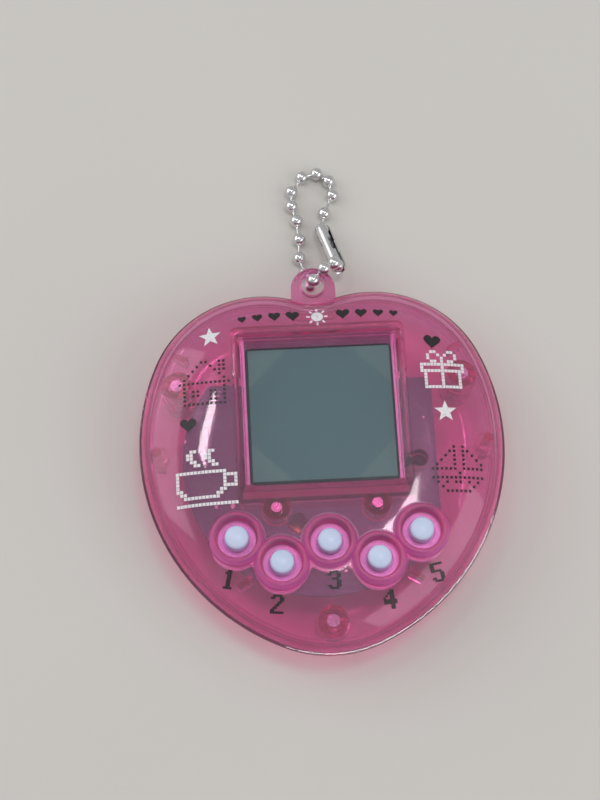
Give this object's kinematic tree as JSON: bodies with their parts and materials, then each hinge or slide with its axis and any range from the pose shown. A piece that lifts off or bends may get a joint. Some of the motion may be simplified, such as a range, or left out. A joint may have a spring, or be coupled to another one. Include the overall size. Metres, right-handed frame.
{
  "type": "virtual pet keychain",
  "caption": "Heart-shaped handheld pet toy with a translucent case, square display, a row of press buttons and a ball chain through its tab.",
  "frame": {"origin": "middle of the flat rear face, halfway along the case's length", "axes": "+X to the right of the display, +Y towards the keychain tab, +Z out of the display"},
  "size_m": [0.0636, 0.0933, 0.0166],
  "materials": {
    "shell_plastic": "translucent pink moulded ABS, glossy",
    "door_plastic": "translucent pink moulded ABS, glossy",
    "window_plastic": "clear acrylic, polished",
    "display_film": "grey-green polarising film",
    "display_glass": "clear float glass, thin",
    "reflector_film": "grey-green transflective film",
    "foam": "white double-sided foam tape",
    "zebra_rubber": "layered conductive silicone",
    "board_laminate": "grey-lilac paper laminate with solder mask",
    "epoxy": "black potting epoxy",
    "tinned_steel": "tinned, satin",
    "ceramic": "ceramic chip parts",
    "carbon": "printed carbon pads",
    "silicone": "translucent white silicone rubber",
    "button_plastic": "white moulded ABS, semi-gloss",
    "screw_steel": "zinc plated steel",
    "brass": "rolled brass sheet",
    "piezo_ceramic": "silvered piezo ceramic",
    "wire_cover": "red PVC",
    "cell_steel": "nickel plated steel cans",
    "spring_steel": "nickel plated spring steel",
    "chain_steel": "nickel plated steel, bright"
  },
  "bodies": {
    "case": {"front_shell": "shell_plastic", "rear_shell": "shell_plastic", "case_screws": "screw_steel", "board_screws": "screw_steel", "display_window": "window_plastic", "display_polariser": "display_film", "display_front_glass": "display_glass", "display_rear_glass": "display_glass", "display_reflector": "reflector_film", "display_foam": "foam", "zebra_strip": "zebra_rubber", "main_board": "board_laminate", "chip_blob": "epoxy", "crystal_can": "tinned_steel", "chip_components": "ceramic", "key_contacts": "carbon", "keypad_sheet": "silicone", "key_dome_1": "silicone", "key_dome_2": "silicone", "key_dome_3": "silicone", "key_dome_4": "silicone", "key_dome_5": "silicone", "buzzer_disc": "brass", "buzzer_ceramic": "piezo_ceramic", "buzzer_wires": "wire_cover", "battery_cell_1": "cell_steel", "battery_cell_2": "cell_steel", "battery_contact_positive": "spring_steel", "battery_contact_negative": "spring_steel"},
    "battery_door_set": {"battery_door": "door_plastic", "battery_door_screw": "screw_steel", "battery_bridge": "spring_steel"},
    "key_1": {"button_1": "button_plastic"},
    "key_2": {"button_2": "button_plastic"},
    "key_3": {"button_3": "button_plastic"},
    "key_4": {"button_4": "button_plastic"},
    "key_5": {"button_5": "button_plastic"},
    "chain_hook": {"chain_hook_balls": "chain_steel", "chain_hook_links": "chain_steel"},
    "chain_near": {"chain_clasp": "chain_steel", "chain_near_balls": "chain_steel", "chain_near_links": "chain_steel"},
    "chain_middle": {"chain_middle_links": "chain_steel"},
    "chain_end": {"chain_end_balls": "chain_steel", "chain_end_links": "chain_steel"}
  },
  "joints": [
    {"name": "button_1_press", "type": "slide", "parent": "case", "child": "key_1", "axis": [0, 0, -1], "range_m": [0, 0.0008], "stiffness_N_per_m": 800, "deforming": ["key_dome_1"]},
    {"name": "button_2_press", "type": "slide", "parent": "case", "child": "key_2", "axis": [0, 0, -1], "range_m": [0, 0.0008], "stiffness_N_per_m": 800, "deforming": ["key_dome_2"]},
    {"name": "button_3_press", "type": "slide", "parent": "case", "child": "key_3", "axis": [0, 0, -1], "range_m": [0, 0.0008], "stiffness_N_per_m": 800, "deforming": ["key_dome_3"]},
    {"name": "button_4_press", "type": "slide", "parent": "case", "child": "key_4", "axis": [0, 0, -1], "range_m": [0, 0.0008], "stiffness_N_per_m": 800, "deforming": ["key_dome_4"]},
    {"name": "button_5_press", "type": "slide", "parent": "case", "child": "key_5", "axis": [0, 0, -1], "range_m": [0, 0.0008], "stiffness_N_per_m": 800, "deforming": ["key_dome_5"]},
    {"name": "battery_door_lift", "type": "slide", "parent": "case", "child": "battery_door_set", "axis": [0, 0, -1], "range_m": [0, 0.008]},
    {"name": "chain_swing", "type": "hinge", "parent": "case", "child": "chain_hook", "pos_m": [0, 0.03475, 0.0079], "axis": [0, 0, 1], "range_deg": [-45, 45]},
    {"name": "chain_lift", "type": "hinge", "parent": "chain_hook", "child": "chain_near", "pos_m": [-0.0011, 0.03895, 0.0024], "axis": [0.9457, 0.0788, 0.3152], "range_deg": [0, 50]},
    {"name": "chain_fold_near", "type": "hinge", "parent": "chain_near", "child": "chain_middle", "pos_m": [-0.00205, 0.05005, 0.0012], "axis": [0.9728, 0.2316, 0], "range_deg": [0, 45]},
    {"name": "chain_fold_far", "type": "hinge", "parent": "chain_middle", "child": "chain_end", "pos_m": [-0.0028, 0.05305, 0.0012], "axis": [0.9709, 0.2396, 0], "range_deg": [0, 45]}
  ]
}
